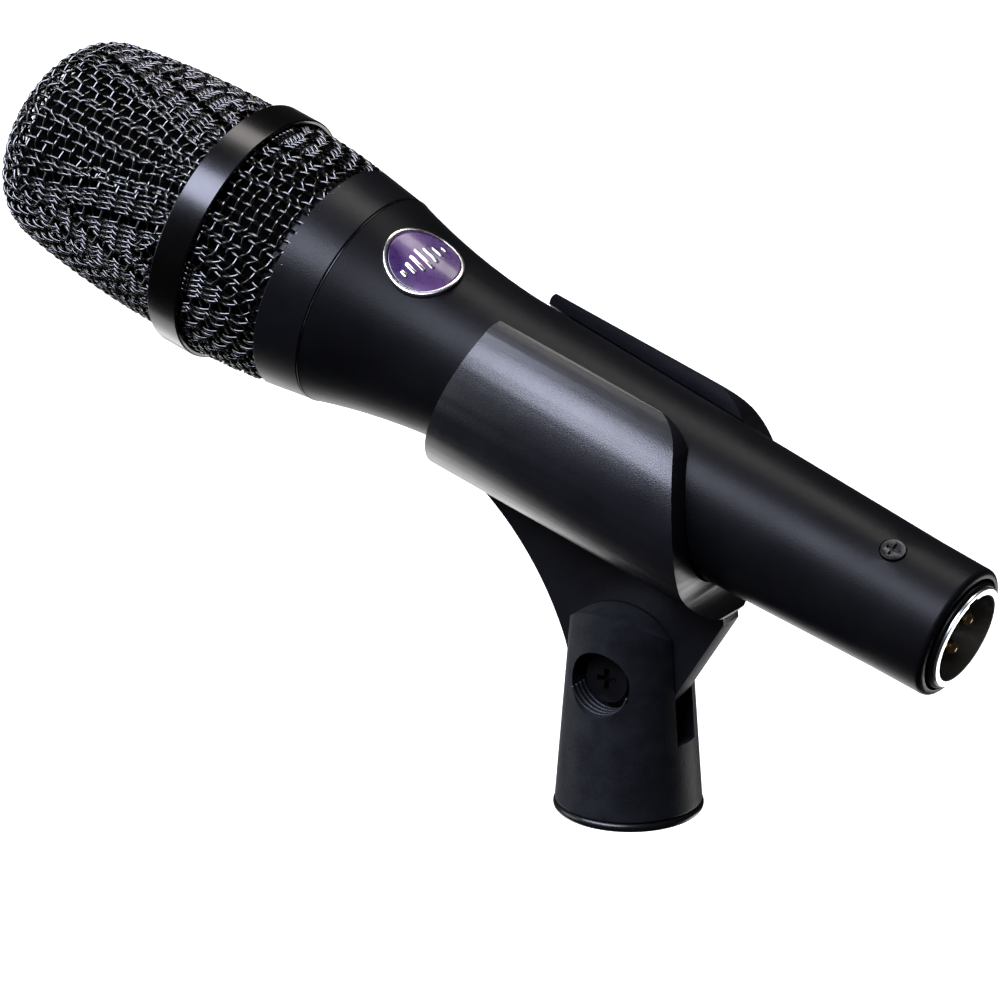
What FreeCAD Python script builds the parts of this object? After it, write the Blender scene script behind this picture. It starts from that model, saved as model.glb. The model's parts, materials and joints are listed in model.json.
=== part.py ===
import FreeCAD, Part
import math
import os
import re

import Sketcher
from FreeCAD import Placement, Rotation, Vector

# Handheld dynamic microphone in its swivel stand clip, millimetres.
# World frame: origin at the middle of the clip base's bottom face, +Z up the stand.
# Microphone frame: +X runs along the microphone's axis towards its connector, its
# origin lies on that axis straight above the world origin, and Y is the world's Y.

os.makedirs("parts", exist_ok=True)
doc = FreeCAD.newDocument("StageMicrophone")

# ---------------------------------------------------------------- driving dimensions

DIMENSIONS = {
    # where the microphone lies
    "axis_height": 65.0,
    "tilt_angle": 17.06,
    "pivot_height": 24.7,
    # clip base
    "base_foot_radius": 13.05,
    "base_top_radius": 10.1,
    "base_height": 40.0,
    "ear_arch_radius": 13.0,
    "arc_slack": 0.001,
    "slot_width": 5.6,
    "slot_floor_height": 13.2,
    "slot_mouth_height": 12.4,
    "slot_floor_half_length": 6.0,
    "recess_radius": 5.9,
    "recess_floor_offset": 5.4,
    "insert_socket_radius": 10.0,
    "insert_depth": 10.8,
    "thread_radius": 7.5,
    "insert_flange_radius": 13.35,
    "insert_bead_radius": 0.85,
    "insert_flange_height": 1.5,
    # pivot screw and nut
    "bolt_radius": 2.5,
    "pivot_clearance": 0.06,
    "bolt_head_radius": 4.2,
    "bolt_head_height": 2.2,
    "bolt_end_offset": 10.4,
    "nut_across_flats": 8.0,
    "nut_height": 3.4,
    "cross_width": 1.1,
    "cross_length": 4.0,
    "cross_depth": 1.2,
    # cradle
    "cradle_radius": 18.2,
    "cradle_drop": 1.0,
    "cradle_front": -32.4,
    "cradle_rear": 27.3,
    "cradle_bore_front": 15.4,
    "cradle_bore_rear": 13.6,
    "cradle_mouth_width": 17.9,
    "fin_width": 5.0,
    "boss_radius": 10.5,
    "fin_front": -28.0,
    "fin_front_radius": 58.0,
    # handle
    "seam_place": -58.2,
    "seam_radius": 19.95,
    "flare_end": -30.0,
    "flare_end_radius": 15.0,
    "flare_curve": 130.0,
    "taper_end": 58.0,
    "tail_radius": 12.2,
    "tail_end": 68.9,
    "tail_edge": 1.1,
    "tail_recess_radius": 10.7,
    "tail_recess_depth": 2.6,
    "neck_socket_radius": 16.6,
    "neck_socket_depth": 4.2,
    "front_bore": 13.4,
    "front_bore_end": -36.0,
    "main_bore": 10.8,
    "main_bore_start": -31.5,
    "main_bore_end": 44.0,
    "tail_bore": 9.75,
    # head
    "neck_thread_radius": 18.0,
    "thread_clearance": 0.12,
    "collar_front": -67.0,
    "collar_front_radius": 21.25,
    "mesh_wall": 0.9,
    "band_rear": -82.4,
    "band_front": -88.8,
    "band_radius": 23.6,
    "band_edge": 0.4,
    "rear_mesh_radius": 22.6,
    "front_mesh_radius": 22.2,
    "dome_shoulder": -121.5,
    "dome_shoulder_radius": 19.8,
    "dome_face": -128.75,
    "dome_face_radius": 14.9,
    "dome_apex": -132.75,
    "apex_flat": 0.4,
    "foam_wall": 3.0,
    "foam_radius": 18.9,
    # capsule
    "can_radius": 15.0,
    "can_front": -104.0,
    "can_step": -74.0,
    "can_wall": 1.4,
    "can_neck_radius": 11.0,
    "can_rear": -61.5,
    "coil_radius": 8.5,
    "coil_wall": 0.4,
    "coil_gap": 0.45,
    "yoke_radius": 12.0,
    "yoke_wall": 1.8,
    "yoke_rear": -82.0,
    "yoke_front": -96.0,
    "plate_thickness": 2.2,
    "film_thickness": 0.3,
    "cap_port_radius": 1.6,
    "cap_port_circle": 7.5,
    # transformer
    "transformer_start": 6.0,
    "transformer_length": 24.0,
    "transformer_radius": 8.6,
    "lead_radius": 0.6,
    "lead_offset": 2.6,
    # connector
    "connector_roll": 17.0,
    "shell_radius": 9.5,
    "shell_bore": 8.15,
    "shell_start": 46.0,
    "shell_rim": 70.3,
    "rim_chamfer": 0.2,
    "key_width": 2.6,
    "key_depth": 0.7,
    "key_length": 9.0,
    "insulator_start": 48.0,
    "insulator_face": 57.0,
    "contact_circle": 3.96,
    "contact_radius": 1.2,
    "contact_tip": 68.65,
    "contact_tail": 43.0,
    # trim
    "badge_place": -46.0,
    "badge_turn": 20.6,
    "badge_radius": 7.2,
    "badge_rim_width": 0.55,
    "badge_height": 0.85,
    "enamel_height": 0.6,
    "latch_screw_place": 54.6,
    "latch_screw_turn": 25.9,
    "latch_screw_head": 2.2,
    "latch_screw_shank": 1.25,
}

sheet = doc.addObject("Spreadsheet::Sheet", "Dims")
for row, (alias, size) in enumerate(DIMENSIONS.items(), start=1):
    sheet.set(f"A{row}", alias.replace("_", " "))
    sheet.set(f"B{row}", str(size))
    sheet.setAlias(f"B{row}", alias)
doc.recompute()


def bound(text):
    """An expression for use outside the sheet: the sheet's name goes before each alias."""
    return re.sub("[a-z_]+", lambda word: "Dims." * (word[0] in DIMENSIONS) + word[0], text)


def size_of(text):
    """The number that an expression over the sheet gives now."""
    return float(sheet.evalExpression(text))


# ---------------------------------------------------------------- helpers

WORLD = "world"
MICROPHONE = "microphone"
nodes = []


def place(item, frame, roll=None):
    """Put an object in the world frame or in the tilted microphone frame."""
    if frame == WORLD:
        return
    item.Placement = Placement(Vector(0, 0, size_of("axis_height")),
                               Rotation(Vector(0, 1, 0), size_of("tilt_angle")))
    if roll is None:
        item.setExpression("Placement.Base.z", bound("axis_height"))
        item.setExpression("Placement.Rotation.Angle", bound("tilt_angle") + " * 1deg")
    else:
        item.Placement = item.Placement * Placement(Vector(), Rotation(Vector(1, 0, 0), roll))


def new_body(name, frame, roll=None):
    body = doc.addObject("PartDesign::Body", name)
    place(body, frame, roll)
    return body


def new_sketch(body, plane, offset=None):
    sketch = body.newObject("Sketcher::SketchObject", body.Name + "_sketch")
    for feature in body.Origin.OriginFeatures:
        if feature.Role == plane:
            sketch.AttachmentSupport = [(feature, "")]
    sketch.MapMode = "FlatFace"
    if offset is not None:
        sketch.AttachmentOffset = Placement(Vector(0, 0, size_of(offset)), Rotation())
        sketch.setExpression("AttachmentOffset.Base.z", bound(offset))
    return sketch


def pin_point(sketch, edge, end, x, y):
    """Tie an edge's end to its coordinates in the sheet's terms."""
    for kind, text in (("DistanceX", x), ("DistanceY", y)):
        index = sketch.addConstraint(Sketcher.Constraint(kind, -1, 1, edge, end, size_of(text)))
        sketch.setExpression(f"Constraints[{index}]", bound(text))


def outline(sketch, corners):
    """Closed outline through corners (x, y) or (x, y, radius).

    A radius makes the edge that arrives at the corner an arc: positive turns left, negative
    turns right.
    """
    points = [Vector(size_of(c[0]), size_of(c[1]), 0) for c in corners]
    joints = []
    for index, corner in enumerate(corners):
        start = points[index - 1]
        end = points[index]
        if len(corner) == 2:
            edge = sketch.addGeometry(Part.LineSegment(start, end), False)
            joints.append((edge, 1, 2))
            continue
        bend = size_of(corner[2])
        chord = end - start
        left = Vector(-chord.y, chord.x, 0).normalize()
        rise = math.sqrt(bend ** 2 - (chord.Length / 2) ** 2)
        centre = (start + end) * 0.5 + left * math.copysign(rise, bend)
        first, last = (start, end) if bend > 0 else (end, start)
        angles = [math.atan2(p.y - centre.y, p.x - centre.x) for p in (first, last)]
        circle = Part.Circle(centre, Vector(0, 0, 1), abs(bend))
        edge = sketch.addGeometry(Part.ArcOfCircle(circle, angles[0], angles[1]), False)
        joints.append((edge, 1, 2) if bend > 0 else (edge, 2, 1))
        index_of_radius = sketch.addConstraint(Sketcher.Constraint("Radius", edge, abs(bend)))
        sketch.setExpression(f"Constraints[{index_of_radius}]", bound(f"abs({corner[2]})"))
    for index, corner in enumerate(corners):
        edge, _, end = joints[index]
        following, start, _ = joints[(index + 1) % len(corners)]
        sketch.addConstraint(Sketcher.Constraint("Coincident", edge, end, following, start))
        pin_point(sketch, edge, end, corner[0], corner[1])
    return sketch


def ring(sketch, radius, x="0", y="0"):
    """Full circle of an expression's radius about a point."""
    centre = Vector(size_of(x), size_of(y), 0)
    edge = sketch.addGeometry(Part.Circle(centre, Vector(0, 0, 1), size_of(radius)), False)
    index = sketch.addConstraint(Sketcher.Constraint("Radius", edge, size_of(radius)))
    sketch.setExpression(f"Constraints[{index}]", bound(radius))
    pin_point(sketch, edge, 3, x, y)
    return sketch


def revolve(body, sketch, axis, angle="360"):
    turn = body.newObject("PartDesign::Revolution", body.Name + "_turn")
    turn.Profile = sketch
    turn.ReferenceAxis = (sketch, [axis])
    turn.Midplane = True
    turn.setExpression("Angle", bound(angle) + " * 1deg")
    return turn


def extrude(body, kind, sketch, length, both_ways=True, turned_round=False):
    """Pad or Pocket; both_ways spreads the length evenly about the sketch."""
    feature = body.newObject("PartDesign::" + kind, body.Name + "_" + kind)
    feature.Profile = sketch
    feature.SideType = "Symmetric" if both_ways else "One side"
    feature.Reversed = turned_round
    feature.setExpression("Length", bound(length))
    return feature


def pocket(body, sketch, length, both_ways=True, turned_round=False):
    """Pocket that is known to take material away."""
    doc.recompute()
    before = body.Shape.Volume
    feature = extrude(body, "Pocket", sketch, length, both_ways, turned_round)
    doc.recompute()
    if body.Shape.Volume > before - 1e-3:
        raise RuntimeError(f"{body.Name}: a pocket removed nothing")
    return feature


def keep(item, label):
    """Name an object as one of the assembly's nodes."""
    item.Label = label
    nodes.append(item)
    return item


def turned(name, corners, frame=MICROPHONE, roll=None):
    """Lathe-turned body. Corners are (along, radius) in the microphone frame and
    (radius, height) in the world frame."""
    body = new_body(name, frame, roll)
    sketch = outline(new_sketch(body, "XZ_Plane"), corners)
    revolve(body, sketch, "V_Axis" if frame == WORLD else "H_Axis")
    return body


def tube(name, start, end, inner, outer):
    """Plain turned tube in the microphone frame."""
    return turned(name, [(start, inner), (end, inner), (end, outer), (start, outer)])


def rod(name, radius, length, axis, base):
    """Cylinder in the microphone frame from a base point along an axis."""
    item = doc.addObject("Part::Cylinder", name)
    item.setExpression("Radius", bound(radius))
    item.setExpression("Height", bound(length))
    frame = Placement(Vector(0, 0, size_of("axis_height")),
                      Rotation(Vector(0, 1, 0), size_of("tilt_angle")))
    item.Placement = frame * Placement(base, Rotation(Vector(0, 0, 1), axis))
    return item


def radial(angle):
    """Direction square to the microphone's axis, turned from its top towards -Y."""
    turn = math.radians(size_of(angle))
    return Vector(0, -math.sin(turn), math.cos(turn))


def combine(kind, name, base, tool):
    item = doc.addObject("Part::" + kind, name)
    item.Base = base
    item.Tool = tool
    return item


def group(label, members):
    item = doc.addObject("Part::Compound", label + "_group")
    item.Links = members
    return keep(item, label)


# ---------------------------------------------------------------- clip base


def make_base():
    body = new_body("Base", WORLD)
    sketch = outline(new_sketch(body, "XZ_Plane"), [
        ("insert_socket_radius", "0"),
        ("base_foot_radius - 0.5", "0"),
        ("base_foot_radius", "0.5", "0.5"),
        ("base_top_radius", "base_height"),
        ("0", "base_height"),
        ("0", "insert_depth + 0.1"),
        ("insert_socket_radius", "insert_depth + 0.1"),
    ])
    revolve(body, sketch, "V_Axis")

    # the ears end in an arch about the pivot
    outside = "2 * base_foot_radius"
    above = "base_height + 5"
    arch = outline(new_sketch(body, "XZ_Plane"), [
        ("0 - ear_arch_radius", "pivot_height"),
        ("ear_arch_radius", "pivot_height", "0 - ear_arch_radius - arc_slack"),
        (outside, "pivot_height"),
        (outside, above),
        ("0 - " + outside, above),
        ("0 - " + outside, "pivot_height"),
    ])
    pocket(body, arch, "4 * base_foot_radius")

    # slot for the fin, its floor falling away to both mouths
    slot = outline(new_sketch(body, "XZ_Plane"), [
        ("0 - " + outside, "slot_mouth_height"),
        ("0 - slot_floor_half_length", "slot_floor_height"),
        ("slot_floor_half_length", "slot_floor_height"),
        (outside, "slot_mouth_height"),
        (outside, above),
        ("0 - " + outside, above),
    ])
    pocket(body, slot, "slot_width")

    bore = ring(new_sketch(body, "XZ_Plane"), "bolt_radius + 0.05", "0", "pivot_height")
    pocket(body, bore, "4 * base_foot_radius")

    # round recess for the screw head on -Y, hexagonal seat for the nut on +Y
    head_seat = ring(new_sketch(body, "XZ_Plane", "recess_floor_offset"),
                     "recess_radius", "0", "pivot_height")
    pocket(body, head_seat, "base_foot_radius", both_ways=False, turned_round=True)
    nut_seat = hexagon(new_sketch(body, "XZ_Plane", "0 - recess_floor_offset"),
                       "nut_across_flats + 0.3")
    pocket(body, nut_seat, "base_foot_radius", both_ways=False)
    return keep(body, "swivel_base")


def hexagon(sketch, across_flats):
    """Hexagon about the pivot, two of its flats upright."""
    corners = []
    for index in range(6):
        angle = 30 + 60 * index
        reach = f"({across_flats}) / 2 / cos(30)"
        corners.append((f"{reach} * cos({angle})", f"pivot_height + {reach} * sin({angle})"))
    return outline(sketch, corners)


def make_insert():
    """Internally threaded stand adapter, its thread drawn at the minor radius.

    The flange under the base has a rounded rim.
    """
    half = "insert_flange_height / 2"
    bead_foot = ("insert_flange_radius - insert_bead_radius"
                 f" + sqrt(insert_bead_radius ^ 2 - ({half}) ^ 2)")
    body = turned("Insert", [
        ("thread_radius", "0 - insert_flange_height"),
        (bead_foot, "0 - insert_flange_height"),
        (bead_foot, "0", "insert_bead_radius"),
        ("insert_socket_radius", "0"),
        ("insert_socket_radius", "insert_depth"),
        ("thread_radius", "insert_depth"),
    ], WORLD)
    return keep(body, "thread_insert")


def make_pivot_screw():
    body = new_body("PivotScrew", WORLD)
    shank = ring(new_sketch(body, "XZ_Plane", "0 - bolt_end_offset"),
                 "bolt_radius", "0", "pivot_height")
    extrude(body, "Pad", shank, "bolt_end_offset + recess_floor_offset", both_ways=False)
    head = ring(new_sketch(body, "XZ_Plane", "recess_floor_offset"),
                "bolt_head_radius", "0", "pivot_height")
    extrude(body, "Pad", head, "bolt_head_height", both_ways=False)
    half = "cross_width / 2"
    reach = "cross_length / 2"
    low = f"pivot_height - {half}"
    high = f"pivot_height + {half}"
    bottom = f"pivot_height - {reach}"
    top = f"pivot_height + {reach}"
    cross = outline(new_sketch(body, "XZ_Plane", "recess_floor_offset + bolt_head_height"), [
        (half, low), (reach, low), (reach, high), (half, high),
        (half, top), ("0 - " + half, top), ("0 - " + half, high), ("0 - " + reach, high),
        ("0 - " + reach, low), ("0 - " + half, low), ("0 - " + half, bottom), (half, bottom),
    ])
    pocket(body, cross, "cross_depth", both_ways=False)
    return keep(body, "pivot_screw")


def make_pivot_nut():
    body = new_body("PivotNut", WORLD)
    seat = hexagon(new_sketch(body, "XZ_Plane", "0 - recess_floor_offset - nut_height"),
                   "nut_across_flats")
    extrude(body, "Pad", seat, "nut_height", both_ways=False)
    bore = ring(new_sketch(body, "XZ_Plane"), "bolt_radius + 0.02", "0", "pivot_height")
    pocket(body, bore, "4 * base_foot_radius")
    return keep(body, "pivot_nut")


# ---------------------------------------------------------------- cradle

# the pivot as seen from the tilted microphone frame
PIVOT_ALONG = "((axis_height - pivot_height) * sin(tilt_angle))"
PIVOT_BELOW = "(0 - (axis_height - pivot_height) * cos(tilt_angle))"


def on_boss(angle):
    return (f"{PIVOT_ALONG} + boss_radius * cos({angle})",
            f"{PIVOT_BELOW} + boss_radius * sin({angle})")


# the walls' free edges seen from the side: the rear one runs down and back in a long S,
# the front one leans back a little and turns into the top in a small arc
WALL_REAR_EDGE = [
    ("3.5", "24"),
    ("3.5", "15.2"),
    ("10.0", "14.0", "-18.1"),
    ("14.1", "10.9", "-9.3"),
    ("23.4", "-12.5", "-47.7"),
    ("cradle_rear + 0.3", "-18.9", "9.4"),
    ("60", "-18.9"),
    ("60", "24"),
]
WALL_FRONT_EDGE = [
    ("-50", "24"),
    ("-50", "-19"),
    ("cradle_front", "-19"),
    ("-27.8", "12.6"),
    ("-25.2", "15.4", "-2.4"),
    ("-25.2", "24"),
]


def make_cradle():
    """Open C-shaped cradle with the fin that stands in the base's slot."""
    body = new_body("Cradle", MICROPHONE)
    lowered = new_sketch(body, "XZ_Plane")
    lowered.AttachmentOffset = Placement(Vector(0, -size_of("cradle_drop"), 0), Rotation())
    lowered.setExpression("AttachmentOffset.Base.y", bound("0 - cradle_drop"))
    outline(lowered, [
        ("cradle_front", "0"),
        ("cradle_rear", "0"),
        ("cradle_rear", "cradle_radius"),
        ("cradle_front + 0.6", "cradle_radius"),
        ("cradle_front", "cradle_radius - 0.6", "0.6"),
    ])
    revolve(body, lowered, "H_Axis")
    past = "5"
    slope = "(cradle_bore_front - cradle_bore_rear) / (cradle_rear - cradle_front)"
    bore = outline(new_sketch(body, "XZ_Plane"), [
        (f"cradle_front - {past}", "0"),
        (f"cradle_rear + {past}", "0"),
        (f"cradle_rear + {past}", f"cradle_bore_rear - {past} * {slope}"),
        (f"cradle_front - {past}", f"cradle_bore_front + {past} * {slope}"),
    ])
    groove = body.newObject("PartDesign::Groove", "CradleBore")
    groove.Profile = bore
    groove.ReferenceAxis = (bore, ["H_Axis"])
    groove.Angle = 360
    half_mouth = "cradle_mouth_width / 2"
    mouth = outline(new_sketch(body, "YZ_Plane"), [
        ("0 - " + half_mouth, "0"),
        (half_mouth, "0"),
        (half_mouth, "2 * cradle_radius"),
        ("0 - " + half_mouth, "2 * cradle_radius"),
    ])
    pocket(body, mouth, "8 * cradle_radius")

    # fin: a concave front edge, a round foot about the pivot and a straight rear edge
    foot_front = on_boss(-146)
    foot_rear = on_boss(-14)
    fin = outline(new_sketch(body, "XZ_Plane"), [
        ("fin_front + 1", "0 - cradle_bore_front - 0.8"),
        ("fin_front", "0 - cradle_radius - cradle_drop + 0.1"),
        ("-0.5", "-38.9", "0 - fin_front_radius"),
        foot_front,
        foot_rear + ("boss_radius",),
        ("cradle_rear + 0.4", "-20.2"),
        ("cradle_rear - 0.3", "-18.6"),
        ("cradle_rear - 0.3", "0 - cradle_bore_front - 0.8"),
    ])
    extrude(body, "Pad", fin, "fin_width")

    for edge in (WALL_REAR_EDGE, WALL_FRONT_EDGE):
        pocket(body, outline(new_sketch(body, "XZ_Plane"), edge), "5 * cradle_radius")

    bore = ring(new_sketch(body, "XZ_Plane"), "bolt_radius + pivot_clearance",
                PIVOT_ALONG, PIVOT_BELOW)
    pocket(body, bore, "5 * cradle_radius")
    return keep(body, "clip_cradle")


# ---------------------------------------------------------------- handle and its trim


def handle_skin(lift):
    """Outer profile of the handle, lifted off its surface, from the tail to the seam."""
    return [
        ("taper_end", f"tail_radius + {lift}"),
        ("flare_end", f"flare_end_radius + {lift}"),
        ("seam_place", f"seam_radius + {lift}", f"0 - flare_curve + {lift}"),
    ]


def make_handle():
    body = turned("Handle", [
        ("tail_end - tail_recess_depth", "tail_bore + 0.35"),
        ("tail_end - tail_recess_depth", "tail_recess_radius"),
        ("tail_end", "tail_recess_radius"),
        ("tail_end", "tail_radius - 0.1 - tail_edge"),
        ("tail_end - tail_edge", "tail_radius - 0.1", "tail_edge"),
    ] + handle_skin("0") + [
        ("seam_place", "neck_socket_radius"),
        ("seam_place + neck_socket_depth", "neck_socket_radius"),
        ("seam_place + neck_socket_depth", "front_bore"),
        ("front_bore_end", "front_bore"),
        ("main_bore_start", "main_bore"),
        ("main_bore_end", "main_bore"),
        ("main_bore_end", "tail_bore"),
        ("tail_end - tail_recess_depth - 0.35", "tail_bore"),
    ])
    hole = latch_screw_rod("LatchScrewHole", "latch_screw_shank + 0.1", 8.0, 10.0)
    seat = latch_screw_rod("LatchScrewSeat", "latch_screw_head + 0.25", LATCH_SEAT, 4.0)
    drilled = combine("Cut", "HandleDrilled", body, hole)
    return keep(combine("Cut", "HandleSpotFaced", drilled, seat), "handle")


LATCH_SEAT = 11.6          # from the axis to the spot face under the connector screw's head


def latch_screw_rod(name, radius, low, length):
    """Radial cylinder on the connector screw's line; low is its distance from the axis."""
    out = radial("latch_screw_turn")
    base = Vector(size_of("latch_screw_place"), 0, 0) + out * low
    return rod(name, radius, str(length), out, base)


def make_latch_screw():
    """Cross-recessed screw that holds the connector in the handle."""
    head_height, slot_length, slot_width, slot_depth = 0.9, 2.6, 0.55, 0.45
    shank = latch_screw_rod("LatchScrewShank", "latch_screw_shank", 8.4, LATCH_SEAT - 8.3)
    head = latch_screw_rod("LatchScrewHead", "latch_screw_head", LATCH_SEAT + 0.05, head_height)
    solid = combine("Fuse", "LatchScrewSolid", shank, head)
    out = radial("latch_screw_turn")
    across = out.cross(Vector(1, 0, 0))
    slot_floor = LATCH_SEAT + 0.05 + head_height - slot_depth
    centre = Vector(size_of("latch_screw_place"), 0, 0) + out * slot_floor
    frame = Placement(Vector(0, 0, size_of("axis_height")),
                      Rotation(Vector(0, 1, 0), size_of("tilt_angle")))
    for index, (length, width) in enumerate(((slot_length, slot_width),
                                             (slot_width, slot_length))):
        slot = doc.addObject("Part::Box", f"LatchScrewSlot{index}")
        slot.Length = length
        slot.Width = width
        slot.Height = 2 * slot_depth
        corner = centre - Vector(length / 2, 0, 0) - across * (width / 2)
        turn = Rotation(Vector(1, 0, 0), across, out, "XYZ")
        slot.Placement = frame * Placement(corner, turn)
        solid = combine("Cut", f"LatchScrewCut{index}", solid, slot)
    return keep(solid, "connector_screw")


def make_badge():
    """Round curved badge that follows the flare: a metal rim round an enamel disc."""
    out = radial("badge_turn")
    base = Vector(size_of("badge_place"), 0, 0) + out * 10.0
    for label, radius, hollow, height in (
            ("badge_rim", "badge_radius", "badge_radius - badge_rim_width", "badge_height"),
            ("badge_enamel", "badge_radius - badge_rim_width", None, "enamel_height")):
        skin = turned(label + "Skin", handle_skin(height) + [
            ("seam_place", "seam_radius + 0.01"),
            ("flare_end", "flare_end_radius + 0.01", "flare_curve - 0.01"),
            ("taper_end", "tail_radius + 0.01"),
        ])
        reach = "20"
        punch = rod(label + "Punch", radius, reach, out, base)
        if hollow:
            punch = combine("Cut", label + "Ring", punch,
                            rod(label + "Hollow", hollow, reach, out, base))
        keep(combine("Common", label + "Piece", skin, punch), label)


# ---------------------------------------------------------------- head


def make_neck_ring():
    """Threaded neck pressed into the handle's mouth; the head screws onto it."""
    start = "collar_front + 0.8"
    body = turned("NeckRing", [
        (start, "can_neck_radius + 2.9"),
        ("seam_place + neck_socket_depth - 0.1", "can_neck_radius + 2.9"),
        ("seam_place + neck_socket_depth - 0.1", "neck_socket_radius - 0.02"),
        ("seam_place - 0.15", "neck_socket_radius - 0.02"),
        ("seam_place - 0.15", "neck_thread_radius"),
        (start, "neck_thread_radius"),
    ])
    return keep(body, "neck_ring")


def make_collar():
    """Ring at the foot of the head, threaded inside, with a spigot for the rear mesh."""
    bore = "neck_thread_radius + thread_clearance"
    rear = "seam_place - 0.12"
    spigot = "collar_front_radius - mesh_wall - 0.05"
    body = turned("Collar", [
        (rear, bore),
        (rear, "seam_radius - 0.25"),
        ("seam_place - 0.4", "seam_radius"),
        ("collar_front + 0.5", "collar_front_radius - 0.05"),
        ("collar_front", "collar_front_radius - 0.5"),
        ("collar_front", spigot),
        ("collar_front - 2", spigot),
        ("collar_front - 2", bore),
    ])
    return keep(body, "grille_collar")


def make_rear_mesh():
    inner_front = "rear_mesh_radius - mesh_wall"
    inner_rear = "collar_front_radius - mesh_wall"
    front = "band_rear - 2.3"
    body = turned("RearMesh", [
        ("collar_front - 0.05", "collar_front_radius"),
        (front, "rear_mesh_radius", "100"),
        (front, inner_front),
        ("collar_front - 0.05", inner_rear, "0 - 100 + mesh_wall"),
    ])
    return keep(body, "rear_grille")


def make_band():
    """Thick band that joins the two meshes; a web inside keeps their edges apart."""
    web_rear = "band_rear - 2.6"
    web_front = "band_front + 2.4"
    web_radius = "front_mesh_radius - mesh_wall - 0.9"
    body = turned("Band", [
        ("band_rear", "rear_mesh_radius + 0.05"),
        ("band_rear", "band_radius - band_edge"),
        ("band_rear - band_edge", "band_radius", "band_edge"),
        ("band_front + band_edge", "band_radius"),
        ("band_front", "band_radius - band_edge", "band_edge"),
        ("band_front", "front_mesh_radius + 0.1"),
        (web_front, "front_mesh_radius + 0.1"),
        (web_front, web_radius),
        (web_rear, web_radius),
        (web_rear, "rear_mesh_radius + 0.05"),
    ])
    return keep(body, "grille_band")


def make_front_mesh():
    """Domed basket of woven wire, drawn as a thin closed skin."""
    rear = "band_front + 2.2"
    body = turned("FrontMesh", [
        (rear, "front_mesh_radius"),
        ("dome_shoulder", "dome_shoulder_radius", "180"),
        ("dome_face", "dome_face_radius", "10"),
        ("dome_apex", "apex_flat", "30"),
        ("dome_apex", "0"),
        ("dome_apex + mesh_wall", "0"),
        ("dome_apex + mesh_wall", "apex_flat"),
        ("dome_face + 0.5", "dome_face_radius - mesh_wall + 0.12", "0 - 30 + mesh_wall"),
        ("dome_shoulder + 0.15", "dome_shoulder_radius - mesh_wall", "0 - 10 + mesh_wall"),
        (rear, "front_mesh_radius - mesh_wall", "0 - 180 + mesh_wall"),
    ])
    return keep(body, "front_grille")


def make_foam():
    """Foam cup that lines the basket."""
    inner = "foam_radius - foam_wall"
    rear = "collar_front - 3"
    body = turned("Foam", [
        (rear, "foam_radius"),
        ("dome_shoulder + 2.5", "foam_radius - 0.6"),
        ("dome_face + 2.5", "dome_face_radius - 2.2", "9"),
        ("dome_apex + 1.6", "apex_flat", "28"),
        ("dome_apex + 1.6", "0"),
        ("dome_apex + 4.6", "0"),
        ("dome_apex + 4.6", "apex_flat"),
        ("dome_face + 5", "dome_face_radius - 4.5", "-25"),
        ("dome_shoulder + 4", inner, "-7"),
        (rear, inner),
    ])
    return keep(body, "foam_liner")


# ---------------------------------------------------------------- capsule


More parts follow.
